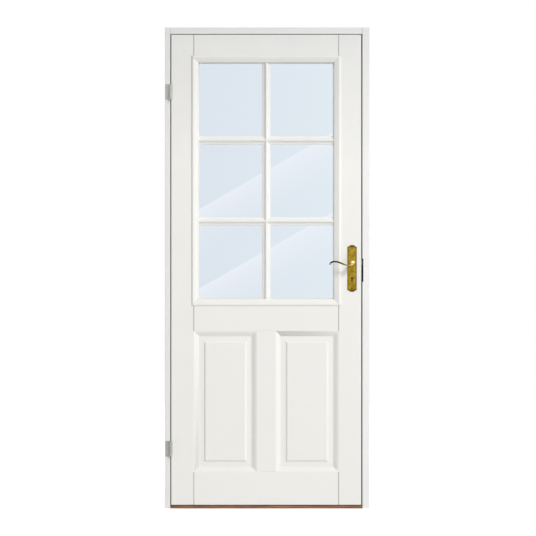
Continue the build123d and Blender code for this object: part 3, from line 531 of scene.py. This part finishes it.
def makeScrews(name, node, finish, body, slot, head, shank, inwards):
    screws = bmesh.new()
    for index, (low, high) in enumerate(boxesOfSolids(node)):
        size, middle = high - low, (low + high) / 2
        along = max(range(3), key=lambda i: size[i])
        way = inwards(middle)
        top = middle.copy()
        top[along] = low[along] if way > 0 else high[along]
        aim = Vector([way if i == along else 0 for i in range(3)])
        slotTurn = Matrix.Rotation(0.7 + 1.9 * index, 4, "Z")  # no two slots stand alike
        spot = Matrix.Translation(top) @ aim.to_track_quat("-Z", "X").to_matrix().to_4x4() @ slotTurn
        screw = slottedScrew(head, shank, size[along])
        bmesh.ops.transform(screw, matrix=spot, verts=screw.verts)
        join(screws, screw)
    place(name, screws, finish, body, slot, node)


def intoLeaf(middle):  # front and back plate screws point at each other
    return 1 if middle.y < leverLook["leafMiddle"] else -1


def intoPlus(middle): return 1
def intoMinus(middle): return -1


screwSets = [
    ("plateScrews", "plate_screws", screwBrass, "leaf", "aged_brass", 0.003, 0.0015, intoLeaf),
    ("faceplateScrews", "faceplate_screws", zincSteel, "leaf", "zinc_steel", 0.0033, 0.0018, intoMinus),
    ("strikeScrews", "strike_screws", darkSteel, "frame", "dark_steel", 0.0033, 0.0018, intoPlus),
    ("hingeDoorScrews", "hinge_door_screws", zincSteel, "leaf", "zinc_steel", 0.0036, 0.0019, intoPlus),
    ("hingeFrameScrews", "hinge_frame_screws", zincSteel, "frame", "zinc_steel", 0.0036, 0.0019, intoPlus),
]
for screwSet in screwSets:
    makeScrews(*screwSet)
print("screws made")

joinery = {  # in metres
    "faces": ((-0.046, 1), (-0.006, -1)), "grooveDeep": (0.0005, 0.0025), "grooveNear": 0.0004,
    "shoulders": (-0.319, 0.310), "chamfer": 0.0013, "shortest": 0.05, "near": 2e-5, "flat": math.radians(0.6),
    "rails": ((1.9565, 2.0565), (0.7705, 0.8885), (0.0165, 0.1585)),
}


def closeLevelGrooves(mesh):  # the CAD's grooves lie level across each joint, where the real leaf has none
    shallow, deep = joinery["grooveDeep"]
    for low, high in joinery["rails"]:
        for v in mesh.verts:
            if abs(v.co.z - (low + high) / 2) < joinery["grooveNear"]:
                for face, way in joinery["faces"]:
                    if shallow < (v.co.y - face) * way < deep:
                        v.co.y = face
    bmesh.ops.dissolve_degenerate(mesh, dist=1e-5, edges=mesh.edges)
    bmesh.ops.dissolve_limit(mesh, angle_limit=joinery["flat"], verts=mesh.verts, edges=mesh.edges)


def shoulderEdges(mesh):  # where stiles and rails meet, on both faces of the leaf
    found = []
    for e in mesh.edges:
        one, two = (v.co for v in e.verts)

        def both(letter, value):
            return all(abs(getattr(end, letter) - value) < joinery["near"] for end in (one, two))

        onLine = any(both("x", x) for x in joinery["shoulders"])
        onFace = any(both("y", face) for face, way in joinery["faces"])
        onRail = any(low - 0.01 < (one.z + two.z) / 2 < high + 0.01 for low, high in joinery["rails"])
        if onLine and onFace and onRail and e.calc_length() > joinery["shortest"]:
            found.append(e)
    return found


def makeFraming(name, node, finish):
    mesh = mergedCopy(node)
    closeLevelGrooves(mesh)
    lines = shoulderEdges(mesh)
    print(name, "has", len(lines), "shoulder lines")
    bmesh.ops.bevel(
        mesh, geom=lines, offset=joinery["chamfer"], affect="EDGES", segments=1, profile=0.5, material=-1,
    )
    place(name, mesh, finish, "leaf", "white_paint", node)


makeFraming("hingeStile", "hinge_stile", stilePaint)
makeFraming("lockStile", "lock_stile", stilePaint)
makeFraming("topRail", "top_rail", railPaint)
makeFraming("lockRail", "lock_rail", railPaint)
makeFraming("bottomRail", "bottom_rail", railPaint)
print("stiles and rails made")

lockLevers = {  # in metres: the lever pack that stands behind the keyhole; the pack is real, its near-black steel is painted shade that keeps the keyhole dark
    "middle": (0.3668, 0.9955), "size": (0.017, 0.021), "thick": 0.0014, "round": 0.004, "roundSteps": 4,
    "depths": (-0.0295, -0.026, -0.0225), "steps": (0.0, 0.0012, -0.0006),
}


def makeLockLevers():
    pack = bmesh.new()
    (x, z), (wide, tall) = lockLevers["middle"], lockLevers["size"]
    for depth, step in zip(lockLevers["depths"], lockLevers["steps"]):
        plate = bmesh.new()
        bmesh.ops.create_cube(plate, size=1.0)
        bmesh.ops.scale(plate, vec=(wide, lockLevers["thick"], tall), verts=plate.verts)
        corners = [e for e in plate.edges if abs(e.verts[0].co.y - e.verts[1].co.y) > 1e-5]
        bmesh.ops.bevel(
            plate, geom=corners, offset=lockLevers["round"], affect="EDGES",
            segments=lockLevers["roundSteps"], profile=0.5, material=-1,
        )
        bmesh.ops.translate(plate, vec=(x + step, depth, z + step), verts=plate.verts)
        join(pack, plate)
    place("lockLevers", pack, blackSteel, "leaf", "dark_steel")


makeLockLevers()
print("lock levers made")

studio = {  # places in metres, power in watts
    "floorSize": 9.0, "floorColour": rgb(244, 244, 243), "floorRough": 0.8, "floorLift": 0.5,
    "ambient": 0.34, "aim": (0, 0, 1.05),
    "lamps": {
        "key": (970.0, 3.4, (6.2, -8.2, 8.4)),
        "fill": (60.0, 2.0, (5.0, -7.0, 0.6)),
        "back": (440.0, 3.4, (-6.6, 9.0, 4.6)),
    },
    "cameraPlace": (0.00325, -12.0, 1.044), "leafFront": -0.046, "sensor": 36.0, "farthest": 200,
    "millimetresPerPixel": 4.34, "pixels": 536,
}


def makeFloor():
    sheet = bmesh.new()
    bmesh.ops.create_grid(sheet, x_segments=1, y_segments=1, size=studio["floorSize"])
    mesh = bpy.data.meshes.new("floor")
    sheet.to_mesh(mesh)
    sheet.free()
    floor = bpy.data.objects.new("floor", mesh)
    scene.collection.objects.link(floor)
    finish = Finish("paleFloor", Roughness=studio["floorRough"], Emission_Strength=studio["floorLift"])
    finish.put("Base Color", studio["floorColour"])
    finish.put("Emission Color", finish.mix(finish.rays("Is Camera Ray"), (0, 0, 0, 1), (1, 1, 1, 1)))
    mesh.materials.append(finish.material)


def makeLamp(name, power, size, spot):
    lamp = bpy.data.lights.new(name, "AREA")
    lamp.energy = power
    lamp.size = size
    holder = bpy.data.objects.new(name, lamp)
    holder.location = spot
    holder.rotation_euler = (Vector(studio["aim"]) - Vector(spot)).to_track_quat("-Z", "Y").to_euler()
    scene.collection.objects.link(holder)


def makeWorld():  # white to the camera, to metal and through glass, plain soft light on the rest
    world = bpy.data.worlds.new("studio")
    world.use_nodes = True
    scene.world = world
    sky = Nodes(world.node_tree)
    seen = sky.maths("MAXIMUM", sky.rays("Is Camera Ray"), sky.rays("Is Transmission Ray"))
    seen = sky.maths("MAXIMUM", seen, sky.rays("Is Glossy Ray"))
    background = world.node_tree.nodes["Background"]
    sky.feed(background.inputs["Color"], (1, 1, 1, 1))
    sky.feed(background.inputs["Strength"], sky.span(seen, 0.0, 1.0, studio["ambient"], 1.0))


def makeCamera():
    lens = bpy.data.cameras.new("camera")
    lens.sensor_width = studio["sensor"]
    across = studio["millimetresPerPixel"] * studio["pixels"] / 1000
    distance = studio["leafFront"] - studio["cameraPlace"][1]
    lens.lens = lens.sensor_width * distance / across
    lens.clip_end = studio["farthest"]
    camera = bpy.data.objects.new("camera", lens)
    camera.location = studio["cameraPlace"]
    camera.rotation_euler = (math.radians(90), 0, 0)
    scene.collection.objects.link(camera)
    scene.camera = camera


makeFloor()
for name, (power, size, spot) in studio["lamps"].items():
    makeLamp(name, power, size, spot)
makeWorld()
makeCamera()
scene.view_settings.view_transform = "Standard"
print("studio made")
